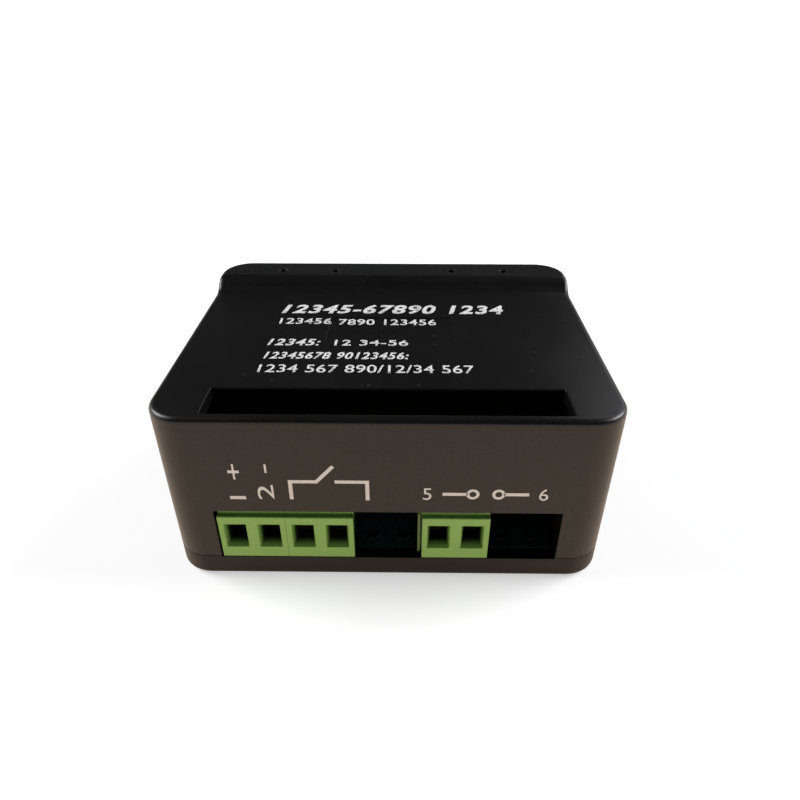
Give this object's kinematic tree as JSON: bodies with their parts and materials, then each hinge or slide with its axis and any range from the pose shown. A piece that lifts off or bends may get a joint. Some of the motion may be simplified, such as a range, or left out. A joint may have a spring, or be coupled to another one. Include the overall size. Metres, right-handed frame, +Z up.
{
  "type": "garage door controller",
  "caption": "Small black plastic box with a raised rear ridge, green screw terminals in a front window and a screwdriver slot in the top; a wireless relay that works a garage door.",
  "frame": {"origin": "middle of the underside", "axes": "+X along the terminal row to the right, +Y to the back with the ridge, +Z up"},
  "size_m": [0.0666, 0.053, 0.0316],
  "materials": {
    "black_cover": "fine matte moulded grain",
    "black_base": "fine matte moulded grain",
    "green_terminal": "satin moulded nylon",
    "screw_steel": "zinc plated",
    "clamp_metal": "nickel plated",
    "board_green": "solder resist",
    "relay_blue": "moulded",
    "copper_wire": "enamelled",
    "iron": "bare",
    "radio_black": "solder resist",
    "shield_metal": "tinned",
    "can_sleeve": "shrunk sleeve",
    "ferrite": "sintered",
    "chip_black": "moulded",
    "ceramic": "fired",
    "light_green": "clear tinted"
  },
  "bodies": {
    "case": {"upper_housing": "black_cover", "base": "black_base", "case_screws": "screw_steel", "main_board": "board_green", "terminal_contacts": "clamp_metal", "relay_cover": "relay_blue", "relay_base": "relay_blue", "relay_coil": "copper_wire", "relay_yoke": "iron", "relay_pins": "clamp_metal", "radio_board": "radio_black", "radio_shield": "shield_metal", "input_capacitor": "can_sleeve", "output_capacitor": "can_sleeve", "power_inductor": "ferrite", "regulator": "chip_black", "diodes": "chip_black", "chip_parts": "ceramic", "sensor_isolator": "chip_black", "pairing_switch": "chip_black", "status_light": "light_green", "terminal_block_1": "green_terminal", "terminal_block_2": "green_terminal", "terminal_block_3": "green_terminal"},
    "clamp_screw_1": {"clamp_screw_1": "screw_steel"},
    "clamp_screw_2": {"clamp_screw_2": "screw_steel"},
    "clamp_screw_3": {"clamp_screw_3": "screw_steel"},
    "clamp_screw_4": {"clamp_screw_4": "screw_steel"},
    "clamp_screw_5": {"clamp_screw_5": "screw_steel"},
    "clamp_screw_6": {"clamp_screw_6": "screw_steel"},
    "wire_clamp_1": {"wire_clamp_1": "clamp_metal"},
    "wire_clamp_2": {"wire_clamp_2": "clamp_metal"},
    "wire_clamp_3": {"wire_clamp_3": "clamp_metal"},
    "wire_clamp_4": {"wire_clamp_4": "clamp_metal"},
    "wire_clamp_5": {"wire_clamp_5": "clamp_metal"},
    "wire_clamp_6": {"wire_clamp_6": "clamp_metal"},
    "pairing_button": {"pairing_button": "chip_black"},
    "relay_armature": {"relay_armature": "iron"}
  },
  "joints": [
    {"name": "clamp_screw_1_turn", "type": "hinge", "parent": "case", "child": "clamp_screw_1", "pos_m": [-0.02286, -0.0214, 0.016], "axis": [0, 0, -1], "range_deg": [0, 1800]},
    {"name": "wire_clamp_1_lift", "type": "slide", "parent": "case", "child": "wire_clamp_1", "axis": [0, 0, 1], "range_m": [0, 0.00225]},
    {"name": "clamp_screw_2_turn", "type": "hinge", "parent": "case", "child": "clamp_screw_2", "pos_m": [-0.01778, -0.0214, 0.016], "axis": [0, 0, -1], "range_deg": [0, 1800]},
    {"name": "wire_clamp_2_lift", "type": "slide", "parent": "case", "child": "wire_clamp_2", "axis": [0, 0, 1], "range_m": [0, 0.00225]},
    {"name": "clamp_screw_3_turn", "type": "hinge", "parent": "case", "child": "clamp_screw_3", "pos_m": [-0.0127, -0.0214, 0.016], "axis": [0, 0, -1], "range_deg": [0, 1800]},
    {"name": "wire_clamp_3_lift", "type": "slide", "parent": "case", "child": "wire_clamp_3", "axis": [0, 0, 1], "range_m": [0, 0.00225]},
    {"name": "clamp_screw_4_turn", "type": "hinge", "parent": "case", "child": "clamp_screw_4", "pos_m": [-0.00762, -0.0214, 0.016], "axis": [0, 0, -1], "range_deg": [0, 1800]},
    {"name": "wire_clamp_4_lift", "type": "slide", "parent": "case", "child": "wire_clamp_4", "axis": [0, 0, 1], "range_m": [0, 0.00225]},
    {"name": "clamp_screw_5_turn", "type": "hinge", "parent": "case", "child": "clamp_screw_5", "pos_m": [0.00762, -0.0214, 0.016], "axis": [0, 0, -1], "range_deg": [0, 1800]},
    {"name": "wire_clamp_5_lift", "type": "slide", "parent": "case", "child": "wire_clamp_5", "axis": [0, 0, 1], "range_m": [0, 0.00225]},
    {"name": "clamp_screw_6_turn", "type": "hinge", "parent": "case", "child": "clamp_screw_6", "pos_m": [0.0127, -0.0214, 0.016], "axis": [0, 0, -1], "range_deg": [0, 1800]},
    {"name": "wire_clamp_6_lift", "type": "slide", "parent": "case", "child": "wire_clamp_6", "axis": [0, 0, 1], "range_m": [0, 0.00225]},
    {"name": "pairing_button_press", "type": "slide", "parent": "case", "child": "pairing_button", "axis": [0, 0, -1], "range_m": [0, 0.00025], "stiffness_N_per_m": 4000},
    {"name": "relay_armature_pull", "type": "hinge", "parent": "case", "child": "relay_armature", "pos_m": [-0.0055, 0.003, 0.0162], "axis": [1, 0, 0], "range_deg": [0, 2.4], "stiffness_Nm_per_rad": 0.02, "springref_deg": -5.73}
  ],
  "couplings": [
    {"joint": "clamp_screw_1_turn", "follows": "wire_clamp_1_lift", "rad_per_m": 13962},
    {"joint": "clamp_screw_2_turn", "follows": "wire_clamp_2_lift", "rad_per_m": 13962},
    {"joint": "clamp_screw_3_turn", "follows": "wire_clamp_3_lift", "rad_per_m": 13962},
    {"joint": "clamp_screw_4_turn", "follows": "wire_clamp_4_lift", "rad_per_m": 13962},
    {"joint": "clamp_screw_5_turn", "follows": "wire_clamp_5_lift", "rad_per_m": 13962},
    {"joint": "clamp_screw_6_turn", "follows": "wire_clamp_6_lift", "rad_per_m": 13962}
  ]
}
